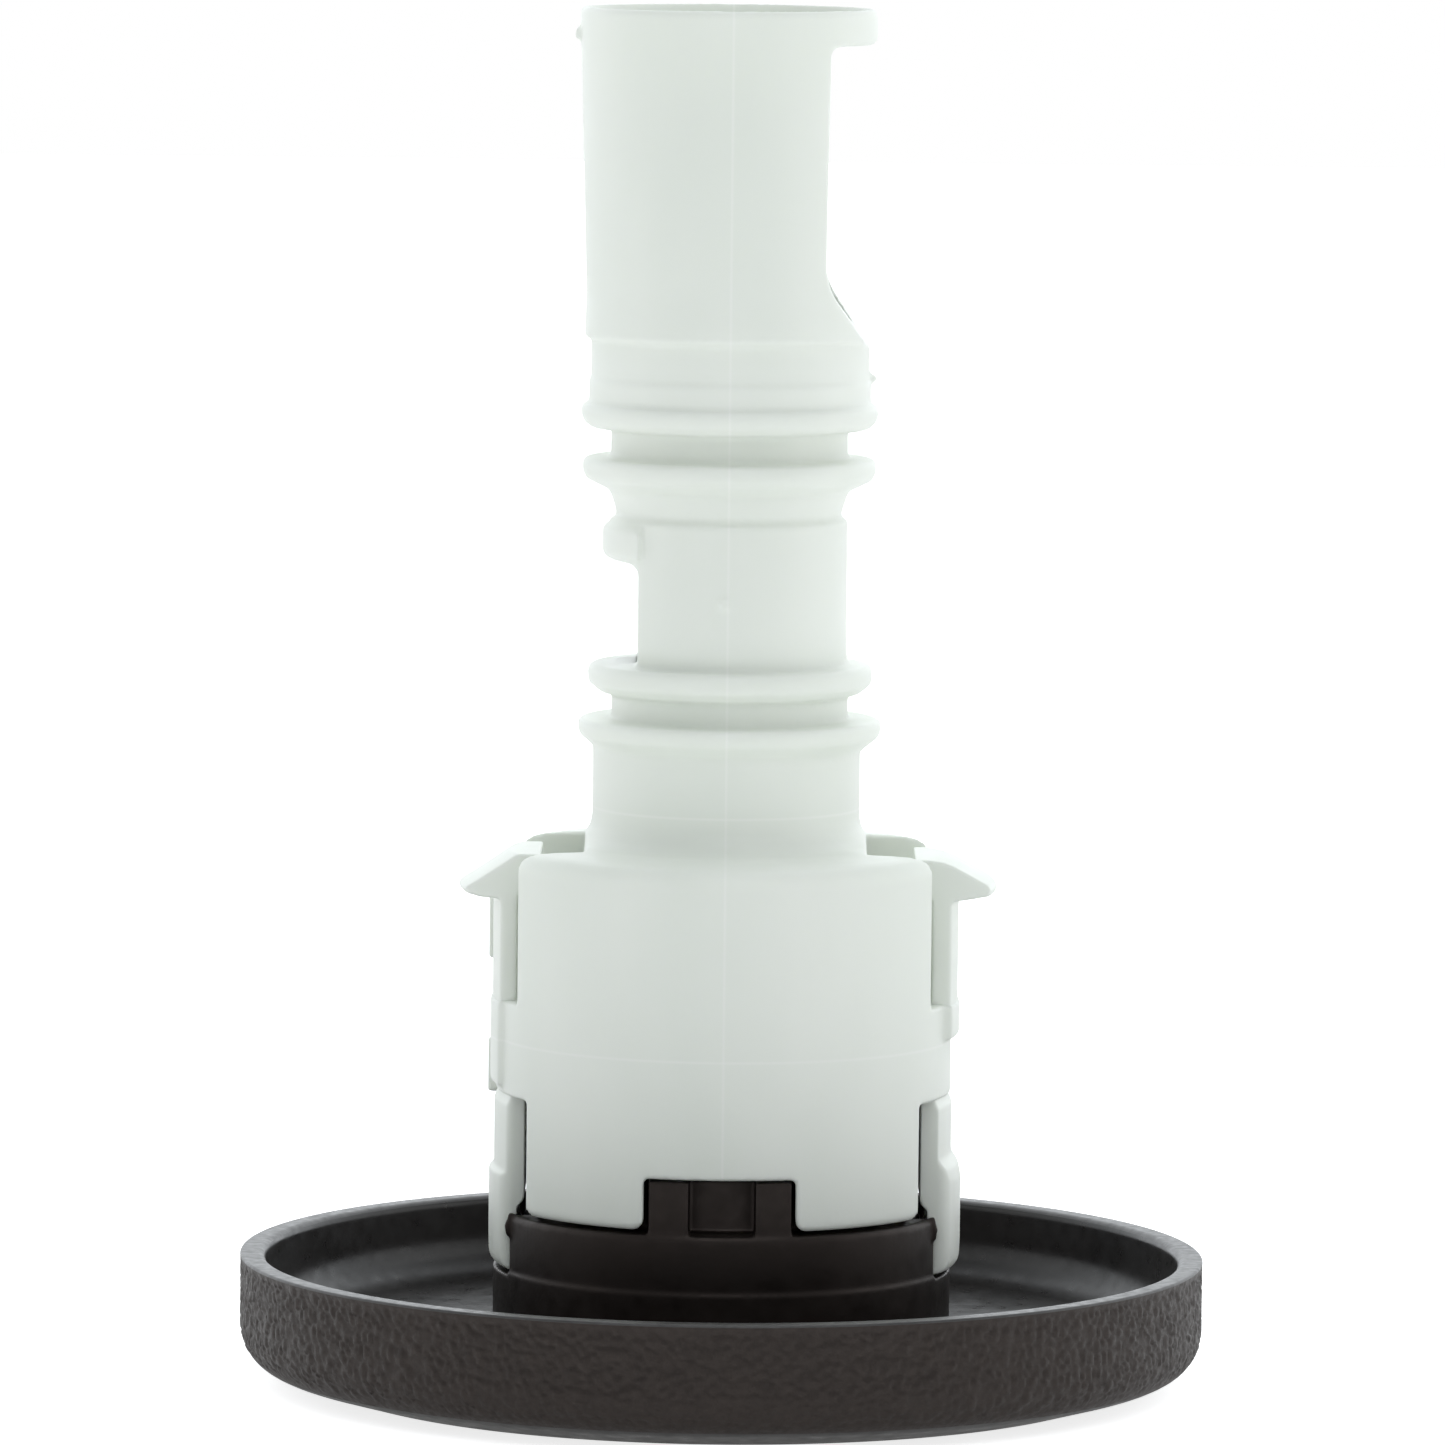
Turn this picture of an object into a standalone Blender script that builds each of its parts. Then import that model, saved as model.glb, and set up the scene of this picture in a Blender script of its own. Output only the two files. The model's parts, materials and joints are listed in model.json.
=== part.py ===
"""Rotary valve cartridge: a ported stem snapped onto a round dished knob.

The cartridge stands on its knob, so the face that the hand turns is underneath.
Its ported tube points up (+Z), and the origin is at the middle of the knob's
underside.  Metres throughout.
"""
import math

import bmesh
import bpy
from mathutils import Matrix, Vector

MM = 0.001
GAP = 0.3 * MM              # clearance kept between pieces that touch

# Knob: a shallow dish, its rim up, with a bevelled face and a recess for the insert below
KNOB_R = 49.5 * MM
KNOB_H = 13.3 * MM
KNOB_EDGE_R = 4.5 * MM      # rounding between the grip's wall and the bevel
FACE_R = 40.65 * MM         # flat middle of the face, which the bevel rises from
BEVEL = math.radians(15.9)
RIM_IN_R = 46.9 * MM
RIM_ROUND = 0.9 * MM        # inner top edge of the rim
RIM_EDGE = 0.25 * MM        # its crisp outer top edge
FLOOR_Z = 5.2 * MM
FLOOR_FILLET = 4.2 * MM
INSERT_R = 36.0 * MM
INSERT_TOP = 1.2 * MM
RECESS_Z = 1.5 * MM
PLINTH_R = 20.5 * MM        # raised middle of the dish, hollow below
PLINTH_TOP = 8.0 * MM
PLINTH_WALL = 2.5 * MM

# Hub: the collar between knob and stem
HUB_R = 23.5 * MM
HUB_SHELF_Z = 12.1 * MM     # shelf that the clip arms stand over
HUB_LEDGE_Z = 18.25 * MM
LEDGE_HALF = 8.6 * MM       # the ledge is left out within this distance of the XZ plane
SPIGOT_R = 20.1 * MM
SPIGOT_IN_R = 17.5 * MM
SPIGOT_TOP = 23.7 * MM
HUB_PLATE_TOP = 11.3 * MM
SPIGOT_FLAT_X = 19.0 * MM   # flats on the spigot behind the clip arms
RIB_IN_X, RIB_OUT_X = 3.4 * MM, 7.1 * MM
RIB_FACE_R = 23.0 * MM
CATCH_OUT_X = 20.5 * MM
CATCH_Z = (13.1 * MM, 16.1 * MM, 16.6 * MM, 18.6 * MM)
CATCH_HALF = 6.0 * MM

# Screws that hold the hub to the dish
SCREW_RING_R = 12.0 * MM
SCREW_COUNT = 3
SCREW_R = 1.3 * MM
SCREW_HEAD_R = 2.8 * MM
SCREW_HEAD_Z = 3.2 * MM
SCREW_TIP_Z = 14.5 * MM
BOSS_R = 3.4 * MM
BOSS_TOP = 17.0 * MM

# Stem, from the bell's mouth to the top of the tube
BELL_R = 23.35 * MM
BELL_IN_R = 20.5 * MM
BELL_MOUTH_Z = 18.6 * MM
BELL_CEILING_Z = 37.5 * MM
SHOULDER_R = 3.6 * MM
SHOULDER_Z = 55.2 * MM
RING_Z = (30.3 * MM, 40.0 * MM)     # the band that both pairs of arms grow from
CLIP_SLOT_HALF = 11.8 * MM
POCKET_HALF = 9.8 * MM
POCKET_X = 14.4 * MM
NOTCH_HALF = 7.65 * MM
NOTCH_TOP = 23.9 * MM
NECK_R = 13.7 * MM
GROOVE_R = 12.1 * MM
TUBE_R = 12.15 * MM
UPPER_R = 14.3 * MM
RIM_STEP_Z = 107.5 * MM     # above this the tube is a little wider
TOP_R = 14.9 * MM
STEM_TOP = 141.3 * MM
FLANGES = [                 # radius, underside, full-width start and top of each flange
    (15.5 * MM, 65.6 * MM, 66.9 * MM, 68.6 * MM),
    (14.55 * MM, 71.1 * MM, 72.0 * MM, 74.25 * MM),
    (15.0 * MM, 92.1 * MM, 93.4 * MM, 95.35 * MM),
    (15.2 * MM, 98.35 * MM, 99.0 * MM, 100.85 * MM),
]
FLANGE_ROUND = 0.6 * MM

# Ports cut in the tube
OUTLET_X = 9.75 * MM
OUTLET_Z = (113.4 * MM, 137.6 * MM)
OUTLET_SLOPE = math.radians(35)
OUTLET_FILLET = 7.0 * MM
INLET_X = -9.17 * MM
INLET_Z = (74.25 * MM, 84.8 * MM)
LIP_R = 12.9 * MM           # lip over the inlet
LIP_TOP = 88.6 * MM
COLLAR_TOP = 89.1 * MM      # where the tube steps in to the cone under the third flange
CONE_R = 11.4 * MM

# Bore and the check valve in it
BORE_R = 9.9 * MM
UPPER_BORE_R = 12.4 * MM
CHECK_BORE_R = 9.4 * MM
SEAT_HOLE_R = 7.4 * MM
SEAT_WEB_Z = 86.8 * MM
SEAT_LEDGE_Z = 88.6 * MM
SEAT_RING_HOLE_R = 7.0 * MM
SEAT_CONE_Z = 91.2 * MM     # the seat ring's hole flares out above this
SEAT_TOP_Z = 93.0 * MM
GUIDE_LEDGE_Z = 102.0 * MM
POPPET_R = 8.7 * MM
POPPET_STEM_R = 1.5 * MM
POPPET_DISC_Z = (93.9 * MM, 95.1 * MM)
SEAL_R = (7.2 * MM, 8.6 * MM)       # the seal's cone, at its lower and upper face
SPRING_R = 2.6 * MM
SPRING_WIRE_R = 0.3 * MM
SPRING_TURNS = 4.5

# Arms
LATCH_HALF = 6.4 * MM
LATCH_IN_X = 21.2 * MM
LATCH_R = 23.9 * MM
LATCH_PIVOT_X = 21.7 * MM   # close to the inner face, which the arm bends towards
LATCH_CROWN_X = 18.9 * MM   # the free end is thicker inwards
LATCH_TOP = 55.5 * MM
BARB_R = {"left": 27.4 * MM, "right": 27.9 * MM}
BARB_Z = 50.6 * MM
CLIP_HALF = 8.2 * MM
CLIP_IN_X = 20.2 * MM
CLIP_RELIEF_X = 21.0 * MM   # thinner where it passes the catch
CLIP_R = 23.5 * MM
CLIP_PAD_R = {"left": 24.05 * MM, "right": 24.55 * MM}
CLIP_PAD_Z = 22.4 * MM
CLIP_HOOK_X = 19.3 * MM
CLIP_PIVOT_X = 22.2 * MM

# Raised marks on the bell: pads under the latch arms, and keys beside the left arms
PADS = {"left": (23.95 * MM, 31.2 * MM), "right": (24.2 * MM, 36.4 * MM)}    # radius, lower end
KEY_X = (-24.5 * MM, -19.8 * MM)
KEY_Y = (10.4 * MM, 12.6 * MM)
KEYS_Z = [(28.4 * MM, 34.0 * MM), (42.3 * MM, 49.0 * MM)]

SIDES = {"left": -1, "right": 1}
ROUND = 48                  # sides of the large turned pieces
SMALL = 28                  # sides of the small ones


# ---------------------------------------------------------------- materials

def plastic(name, colour, roughness):
    mat = bpy.data.materials.new(name)
    mat.use_nodes = True
    shader = mat.node_tree.nodes["Principled BSDF"]
    shader.inputs["Base Color"].default_value = (*colour, 1.0)
    shader.inputs["Roughness"].default_value = roughness
    shader.inputs["Metallic"].default_value = 0.0
    return mat


def steel(name):
    mat = plastic(name, (0.62, 0.63, 0.64), 0.3)
    mat.node_tree.nodes["Principled BSDF"].inputs["Metallic"].default_value = 1.0
    return mat


# ---------------------------------------------------------------- shape tools

def add_object(name, bm, material=None):
    """Finish a bmesh as a named object with smooth round faces."""
    bmesh.ops.remove_doubles(bm, verts=bm.verts, dist=1e-7)
    bmesh.ops.recalc_face_normals(bm, faces=bm.faces)
    mesh = bpy.data.meshes.new(name)
    bm.to_mesh(mesh)
    bm.free()
    mesh.shade_smooth()
    mesh.set_sharp_from_angle(angle=math.radians(35))
    obj = bpy.data.objects.new(name, mesh)
    bpy.context.collection.objects.link(obj)
    if material:
        obj.data.materials.append(material)
    return obj


def turned(name, outline, material=None, sides=ROUND):
    """Spin a closed outline of (radius, z) points about the Z axis."""
    bm = bmesh.new()
    verts = [bm.verts.new((r, 0.0, z)) for r, z in outline]
    edges = [bm.edges.new((a, b)) for a, b in zip(verts, verts[1:] + verts[:1])
             if a.co.x > 0 or b.co.x > 0]
    bmesh.ops.spin(bm, geom=verts + edges, cent=(0, 0, 0), axis=(0, 0, 1),
                   angle=2 * math.pi, steps=sides, use_merge=True)
    return add_object(name, bm, material)


def slab(name, outline, half_width, material=None):
    """Extrude a closed outline of (x, z) points to both sides of the XZ plane."""
    bm = bmesh.new()
    face = bm.faces.new([bm.verts.new((x, -half_width, z)) for x, z in outline])
    grown = bmesh.ops.extrude_face_region(bm, geom=[face])
    moved = [v for v in grown["geom"] if isinstance(v, bmesh.types.BMVert)]
    bmesh.ops.translate(bm, verts=moved, vec=(0, 2 * half_width, 0))
    return add_object(name, bm, material)


def block(name, corner, opposite):
    """A box between two opposite corners, in either order."""
    low, high = Vector(map(min, corner, opposite)), Vector(map(max, corner, opposite))
    bm = bmesh.new()
    matrix = Matrix.Translation((low + high) / 2) @ Matrix.Diagonal((*(high - low), 1.0))
    bmesh.ops.create_cube(bm, size=1.0, matrix=matrix)
    return add_object(name, bm)


def combine(obj, other, operation):
    """Add, cut or intersect with another object, which becomes a hidden guide."""
    other.hide_render = True
    other.display_type = "WIRE"
    modifier = obj.modifiers.new(operation.lower(), "BOOLEAN")
    modifier.operation = operation
    modifier.solver = "EXACT"
    modifier.object = other


def cut(obj, other):
    combine(obj, other, "DIFFERENCE")


def arc(centre, radius, start, end, steps=4):
    """Points on an arc in the outline's plane; angles in degrees."""
    angles = [math.radians(start + (end - start) * i / steps) for i in range(steps + 1)]
    return [(centre[0] + radius * math.cos(a), centre[1] + radius * math.sin(a)) for a in angles]


def set_origin(obj, point):
    """Move an object's origin onto its joint's axis without moving the shape."""
    obj.data.transform(Matrix.Translation(-Vector(point)))
    obj.location = point


# ---------------------------------------------------------------- knob

def knob_dish(black):
    outline = [(0, PLINTH_TOP), (PLINTH_R, PLINTH_TOP), (PLINTH_R, FLOOR_Z)]
    fillet_r = RIM_IN_R - FLOOR_FILLET
    outline += arc((fillet_r, FLOOR_Z + FLOOR_FILLET), FLOOR_FILLET, -90, 0)
    outline += arc((RIM_IN_R + RIM_ROUND, KNOB_H - RIM_ROUND), RIM_ROUND, 180, 90, 2)
    outline += [(KNOB_R - RIM_EDGE, KNOB_H), (KNOB_R, KNOB_H - RIM_EDGE)]
    corner_r = KNOB_R - KNOB_EDGE_R
    bevel_end_z = (corner_r + KNOB_EDGE_R * math.sin(BEVEL) - FACE_R) * math.tan(BEVEL)
    corner_z = bevel_end_z + KNOB_EDGE_R * math.cos(BEVEL)
    outline += arc((corner_r, corner_z), KNOB_EDGE_R, 0, math.degrees(BEVEL) - 90)
    outline += [(FACE_R, 0), (INSERT_R + GAP, 0), (INSERT_R + GAP, RECESS_Z)]
    outline += [(PLINTH_R - PLINTH_WALL, RECESS_Z)]
    outline += [(PLINTH_R - PLINTH_WALL, PLINTH_TOP - PLINTH_WALL), (0, PLINTH_TOP - PLINTH_WALL)]
    dish = turned("knob_dish", outline, black)
    for index, place in enumerate(screw_places()):
        hole = turned(f"dish_hole_{index + 1}",
                      [(0, 0), (SCREW_R + GAP, 0), (SCREW_R + GAP, KNOB_H), (0, KNOB_H)], sides=16)
        hole.location = place
        cut(dish, hole)
    return dish


def face_insert(black):
    chamfer = 0.3 * MM
    outline = [(0, GAP), (INSERT_R - chamfer, GAP), (INSERT_R, GAP + chamfer),
               (INSERT_R, INSERT_TOP), (0, INSERT_TOP)]
    return turned("face_insert", outline, black, sides=SMALL)


def screw_places():
    step = 2 * math.pi / SCREW_COUNT
    return [(SCREW_RING_R * math.cos(i * step + math.pi / 2),
             SCREW_RING_R * math.sin(i * step + math.pi / 2), 0) for i in range(SCREW_COUNT)]


def hub_screws(metal):
    """Pan-head screws, heads down, driven up through the dish into the hub's bosses."""
    head_top = PLINTH_TOP - PLINTH_WALL - GAP
    round_r = 0.7 * MM
    taper = 1.2 * MM
    outline = [(0, SCREW_HEAD_Z), (SCREW_HEAD_R - round_r, SCREW_HEAD_Z),
               (SCREW_HEAD_R, SCREW_HEAD_Z + round_r), (SCREW_HEAD_R, head_top),
               (SCREW_R, head_top), (SCREW_R, SCREW_TIP_Z - taper), (0, SCREW_TIP_Z)]
    slot_half, slot_depth = 0.4 * MM, 0.8 * MM
    for index, place in enumerate(screw_places()):
        screw = turned(f"hub_screw_{index + 1}", outline, metal, sides=16)
        screw.location = place
        for arm, (wide, deep) in enumerate([(SCREW_HEAD_R * 0.6, slot_half),
                                            (slot_half, SCREW_HEAD_R * 0.6)]):
            slot = block(f"screw_slot_{index + 1}_{arm + 1}",
                         (-wide, -deep, SCREW_HEAD_Z - slot_depth),
                         (wide, deep, SCREW_HEAD_Z + slot_depth))
            slot.location = place
            cut(screw, slot)


def knob_hub(black):
    skirt_in = PLINTH_R + GAP
    outline = [(0, PLINTH_TOP + GAP), (skirt_in, PLINTH_TOP + GAP), (skirt_in, FLOOR_Z + GAP),
               (HUB_R, FLOOR_Z + GAP), (HUB_R, HUB_LEDGE_Z), (SPIGOT_R, HUB_LEDGE_Z),
               (SPIGOT_R, SPIGOT_TOP), (SPIGOT_IN_R, SPIGOT_TOP),
               (SPIGOT_IN_R, HUB_PLATE_TOP), (0, HUB_PLATE_TOP)]
    hub = turned("knob_hub", outline, black)
    for name, side in SIDES.items():
        flat = block(f"hub_flat_{name}", (side * SPIGOT_FLAT_X, -LEDGE_HALF, HUB_SHELF_Z),
                     (side * HUB_R * 1.1, LEDGE_HALF, KNOB_H * 3))
        cut(hub, flat)
        embed = 0.8 * MM
        low, crest, lead, top = CATCH_Z
        tooth = [(SPIGOT_FLAT_X - embed, low), (SPIGOT_FLAT_X, low), (CATCH_OUT_X, crest),
                 (CATCH_OUT_X, lead), (SPIGOT_FLAT_X, top), (SPIGOT_FLAT_X - embed, top)]
        catch = slab(f"hub_catch_{name}", [(side * x, z) for x, z in tooth], CATCH_HALF)
        combine(hub, catch, "UNION")
    for index, (face, side) in enumerate([(f, s) for f in (-1, 1) for s in (-1, 1)]):
        rib = block(f"hub_rib_{index + 1}", (side * RIB_IN_X, face * SPIGOT_IN_R, HUB_LEDGE_Z - MM),
                    (side * RIB_OUT_X, face * RIB_FACE_R, SPIGOT_TOP))
        rib_body = turned(f"hub_rib_guide_{index + 1}",
                          [(SPIGOT_IN_R + MM, 0), (RIB_FACE_R, 0), (RIB_FACE_R, KNOB_H * 3),
                           (SPIGOT_IN_R + MM, KNOB_H * 3)])
        combine(rib, rib_body, "INTERSECT")
        combine(hub, rib, "UNION")
    for index, place in enumerate(screw_places()):
        boss = turned(f"hub_boss_{index + 1}",
                      [(0, HUB_PLATE_TOP - MM), (BOSS_R, HUB_PLATE_TOP - MM),
                       (BOSS_R, BOSS_TOP), (0, BOSS_TOP)], sides=20)
        boss.location = place
        combine(hub, boss, "UNION")
        pilot = turned(f"hub_pilot_{index + 1}",
                       [(0, 0), (SCREW_R + GAP, 0), (SCREW_R + GAP, SCREW_TIP_Z + GAP),
                        (0, SCREW_TIP_Z + 2 * GAP)], sides=16)
        pilot.location = place
        cut(hub, pilot)
    return hub


# ---------------------------------------------------------------- stem

def stem_outline():
    """Outer wall from the bell's mouth up, then the bore from the top down."""
    corner = (BELL_R - SHOULDER_R, SHOULDER_Z - SHOULDER_R)
    outline = [(BELL_IN_R, BELL_MOUTH_Z), (BELL_R - 0.5 * MM, BELL_MOUTH_Z),
               (BELL_R, BELL_MOUTH_Z + 0.5 * MM)]
    outline += arc(corner, SHOULDER_R, 0, 90)
    fillet = 3.0 * MM
    crest_z = SHOULDER_Z + 0.7 * MM
    outline += arc((NECK_R + fillet, crest_z + fillet), fillet, 270, 180)
    lower_root = [NECK_R, GROOVE_R, TUBE_R, GROOVE_R]
    upper_root = [GROOVE_R, TUBE_R, GROOVE_R, UPPER_R]
    for (radius, under, wide, top), below, above in zip(FLANGES, lower_root, upper_root):
        outline += [(below, under), (radius - FLANGE_ROUND / 2, wide),
                    (radius, wide + FLANGE_ROUND), (radius, top - FLANGE_ROUND),
                    (radius - FLANGE_ROUND, top), (above, top)]
        if under == FLANGES[1][1]:
            outline += [(TUBE_R, COLLAR_TOP), (CONE_R, COLLAR_TOP)]
    edge = 0.4 * MM
    outline += [(UPPER_R, RIM_STEP_Z), (TOP_R, RIM_STEP_Z + edge), (TOP_R, STEM_TOP - edge),
                (TOP_R - edge, STEM_TOP), (UPPER_BORE_R, STEM_TOP)]
    outline += [(UPPER_BORE_R, GUIDE_LEDGE_Z), (CHECK_BORE_R, GUIDE_LEDGE_Z),
                (CHECK_BORE_R, SEAT_LEDGE_Z), (SEAT_HOLE_R, SEAT_LEDGE_Z),
                (SEAT_HOLE_R, SEAT_WEB_Z), (BORE_R, SEAT_WEB_Z)]
    outline += [(BORE_R, BELL_CEILING_Z), (BELL_IN_R, BELL_CEILING_Z)]
    return outline


def outlet_cutter():
    """The large port: a flat cut that sweeps out to the tube's side at its foot."""
    reach = TOP_R * 1.3
    bend_z = OUTLET_Z[0]
    tangent = OUTLET_FILLET * math.tan(OUTLET_SLOPE / 2)
    centre = (OUTLET_X + OUTLET_FILLET, bend_z + tangent)
    turn = math.degrees(OUTLET_SLOPE)
    foot_drop = (reach - OUTLET_X) / math.tan(OUTLET_SLOPE)
    outline = [(OUTLET_X, OUTLET_Z[1])] + arc(centre, OUTLET_FILLET, 180, 180 + turn)
    outline += [(reach, bend_z - foot_drop), (reach, OUTLET_Z[1])]
    return slab("outlet_cutter", outline, reach)


def inlet_cutter():
    """The small port, with a rounded inner corner under its lip."""
    reach = -TUBE_R * 1.3
    low, high = INLET_Z
    corner = 1.2 * MM
    outline = [(reach, low), (INLET_X, low)]
    outline += arc((INLET_X - corner, high - corner), corner, 0, 90)
    outline += [(reach, high)]
    return slab("inlet_cutter", outline, -reach)


def inlet_lip():
    """The lip along the inlet's upper edge: the part of a ring beyond the port's plane."""
    low = INLET_Z[1]
    soft = (LIP_TOP - low) / 4
    ring = turned("inlet_lip", [(BORE_R, low), (LIP_R - soft, low), (LIP_R, low + soft),
                                (LIP_R, LIP_TOP - soft), (LIP_R - soft, LIP_TOP), (BORE_R, LIP_TOP)])
    keep = block("inlet_lip_side", (INLET_X, -LIP_R, low - MM), (-LIP_R * 1.2, LIP_R, LIP_TOP + MM))
    combine(ring, keep, "INTERSECT")
    return ring


def panel_hollow(face):
    """Hollow of the front or back panel, open to the bell below."""
    wall = 2.6 * MM
    inner = NECK_R + 0.9 * MM
    core = turned(f"panel_core_{'front' if face < 0 else 'back'}",
                  [(inner, BELL_CEILING_Z - MM), (BELL_R - wall, BELL_CEILING_Z - MM),
                   (BELL_R - wall, SHOULDER_Z - wall - 2 * MM),
                   (BELL_R - wall - 2 * MM, SHOULDER_Z - wall), (inner, SHOULDER_Z - wall)],
                  sides=SMALL)
    keep = block(core.name + "_side", (-BELL_R * 1.2, face * (POCKET_HALF + wall), 0),
                 (BELL_R * 1.2, face * BELL_R * 1.2, STEM_TOP))
    combine(core, keep, "INTERSECT")
    return core


def arm_pad(name):
    """Raised pad on the band, in line with the latch arm above it."""
    radius, low = PADS[name]
    soft = 0.5 * MM
    inner = BELL_R - MM
    pad = turned(f"pad_{name}", [(inner, low), (radius - soft, low), (radius, low + soft),
                                 (radius, RING_Z[1]), (inner, RING_Z[1])])
    keep = block(f"pad_side_{name}", (0, -LATCH_HALF, 0),
                 (SIDES[name] * radius * 1.2, LATCH_HALF, SHOULDER_Z))
    combine(pad, keep, "INTERSECT")
    return pad


def valve_stem(white):
    stem = turned("valve_stem", stem_outline(), white)
    combine(stem, inlet_lip(), "UNION")
    cut(stem, outlet_cutter())
    cut(stem, inlet_cutter())
    reach = BELL_R * 1.2
    for face in (-1, 1):
        cut(stem, panel_hollow(face))
        notch = block(f"notch_{'front' if face < 0 else 'back'}",
                      (-NOTCH_HALF, face * BELL_IN_R * 0.8, 0), (NOTCH_HALF, face * reach, NOTCH_TOP))
        cut(stem, notch)
    for name, side in SIDES.items():
        pocket = block(f"pocket_{name}", (side * POCKET_X, -POCKET_HALF, RING_Z[1]),
                       (side * reach, POCKET_HALF, SHOULDER_Z + 5 * MM))
        cut(stem, pocket)
        slot = block(f"clip_slot_{name}", (side * BELL_IN_R * 0.7, -CLIP_SLOT_HALF, 0),
                     (side * reach, CLIP_SLOT_HALF, RING_Z[0]))
        cut(stem, slot)
        combine(stem, arm_pad(name), "UNION")
    for index, (low, high) in enumerate(KEYS_Z):
        key = block(f"key_{index + 1}", (KEY_X[0], KEY_Y[0], low), (KEY_X[1], KEY_Y[1], high))
        combine(stem, key, "UNION")


def bore_plug(white, rubber):
    """The plug that closes the bore inside the bell, and the ring that seals it."""
    flange_r, flange_h = 13.0 * MM, 1.6 * MM
    shank_r = BORE_R - GAP
    flange_top = BELL_CEILING_Z - GAP
    top = BELL_CEILING_Z + 8.5 * MM
    groove_r = 7.6 * MM
    groove_low, groove_high = BELL_CEILING_Z + 3.4 * MM, BELL_CEILING_Z + 6.2 * MM
    outline = [(0, flange_top - flange_h), (flange_r, flange_top - flange_h), (flange_r, flange_top),
               (shank_r, flange_top), (shank_r, groove_low), (groove_r, groove_low),
               (groove_r, groove_high), (shank_r, groove_high), (shank_r, top - 0.6 * MM),
               (shank_r - 0.6 * MM, top), (0, top)]
    turned("bore_plug", outline, white, sides=SMALL)
    centre = ((groove_r + BORE_R) / 2, (groove_low + groove_high) / 2)
    wire_r = (BORE_R - groove_r) / 2 - 0.2 * MM
    turned("plug_o_ring", arc(centre, wire_r, 0, 360, 8)[:-1], rubber, sides=SMALL)


# ---------------------------------------------------------------- check valve

def seat_parts(white, rubber):
    outer = CHECK_BORE_R - GAP
    gasket_low, gasket_high = SEAT_LEDGE_Z + GAP, SEAT_LEDGE_Z + 1.1 * MM
    gasket_in = SEAT_HOLE_R + 0.2 * MM
    turned("seat_gasket", [(gasket_in, gasket_low), (outer, gasket_low),
                           (outer, gasket_high), (gasket_in, gasket_high)], rubber, sides=SMALL)
    ring_low = gasket_high + GAP
    flare_r = SEAT_RING_HOLE_R + SEAT_TOP_Z - SEAT_CONE_Z
    turned("seat_ring", [(SEAT_RING_HOLE_R, ring_low), (outer, ring_low), (outer, SEAT_TOP_Z),
                         (flare_r, SEAT_TOP_Z), (SEAT_RING_HOLE_R, SEAT_CONE_Z)], white, sides=SMALL)


def poppet_parts(white, rubber, metal):
    disc_low, disc_high = POPPET_DISC_Z
    nose_r, keeper_r = 3.0 * MM, 4.2 * MM
    seal_low, seal_high = disc_low - 1.8 * MM, disc_low - GAP
    keeper_low = seal_low - GAP - 0.8 * MM
    stem_top = GUIDE_LEDGE_Z + 2.8 * MM
    chamfer = 0.4 * MM
    outline = [(0, keeper_low), (keeper_r - chamfer, keeper_low), (keeper_r, seal_low - GAP),
               (nose_r, seal_low - GAP), (nose_r, disc_low), (POPPET_R, disc_low),
               (POPPET_R, disc_high), (POPPET_STEM_R, disc_high),
               (POPPET_STEM_R, stem_top - chamfer), (POPPET_STEM_R - chamfer, stem_top),
               (0, stem_top)]
    turned("check_poppet", outline, white, sides=SMALL)
    turned("poppet_seal", [(nose_r + GAP, seal_low), (SEAL_R[0], seal_low), (SEAL_R[1], seal_high),
                           (nose_r + GAP, seal_high)], rubber, sides=SMALL)
    helix("check_spring", metal, disc_high + GAP + SPRING_WIRE_R, GUIDE_LEDGE_Z - SPRING_WIRE_R)


def helix(name, material, low, high):
    """A compression spring: a round wire swept along a helix."""
    per_turn = 12
    count = int(SPRING_TURNS * per_turn)
    curve = bpy.data.curves.new(name, "CURVE")
    curve.dimensions = "3D"
    curve.bevel_depth = SPRING_WIRE_R
    curve.bevel_resolution = 1
    curve.use_fill_caps = True
    spline = curve.splines.new("POLY")
    spline.points.add(count)
    for index, point in enumerate(spline.points):
        angle = 2 * math.pi * index / per_turn
        rise = low + (high - low) * index / count
        point.co = (SPRING_R * math.cos(angle), SPRING_R * math.sin(angle), rise, 1.0)
    curve.materials.append(material)
    obj = bpy.data.objects.new(name, curve)
    bpy.context.collection.objects.link(obj)


def spring_guide(white):
    """A three-spoked guide on the bore's ledge, and the split ring that keeps it there."""
    low, high = GUIDE_LEDGE_Z + GAP, GUIDE_LEDGE_Z + 2.3 * MM
    outer, inner, hub_r = UPPER_BORE_R - GAP, 10.4 * MM, 3.6 * MM
    guide = turned("spring_guide", [(inner, low), (outer, low), (outer, high), (inner, high)],
                   white, sides=SMALL)
    hub = turned("guide_hub", [(0, low), (hub_r, low), (hub_r, high), (0, high)], sides=24)
    combine(guide, hub, "UNION")
    spoke_half, inset = 1.1 * MM, 0.3 * MM
    for index in range(3):
        spoke = block(f"guide_spoke_{index + 1}", (0, -spoke_half, low + inset),
                      (inner + 0.8 * MM, spoke_half, high - inset))
        spoke.rotation_euler = (0, 0, index * 2 * math.pi / 3)
        combine(guide, spoke, "UNION")
    hole_r = POPPET_STEM_R + GAP
    hole = turned("guide_hole", [(0, low - MM), (hole_r, low - MM), (hole_r, high + MM), (0, high + MM)],
                  sides=24)
    cut(guide, hole)
    ring_low = high + GAP
    ring_high = ring_low + 1.2 * MM
    ring = turned("guide_snap_ring", [(inner + 0.2 * MM, ring_low), (outer, ring_low),
                                      (outer, ring_high), (inner + 0.2 * MM, ring_high)],
                  white, sides=SMALL)
    split = block("snap_ring_split", (-1.5 * MM, 0, ring_low - MM), (1.5 * MM, outer * 1.1, ring_high + MM))
    cut(ring, split)


# ---------------------------------------------------------------- arms

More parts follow.
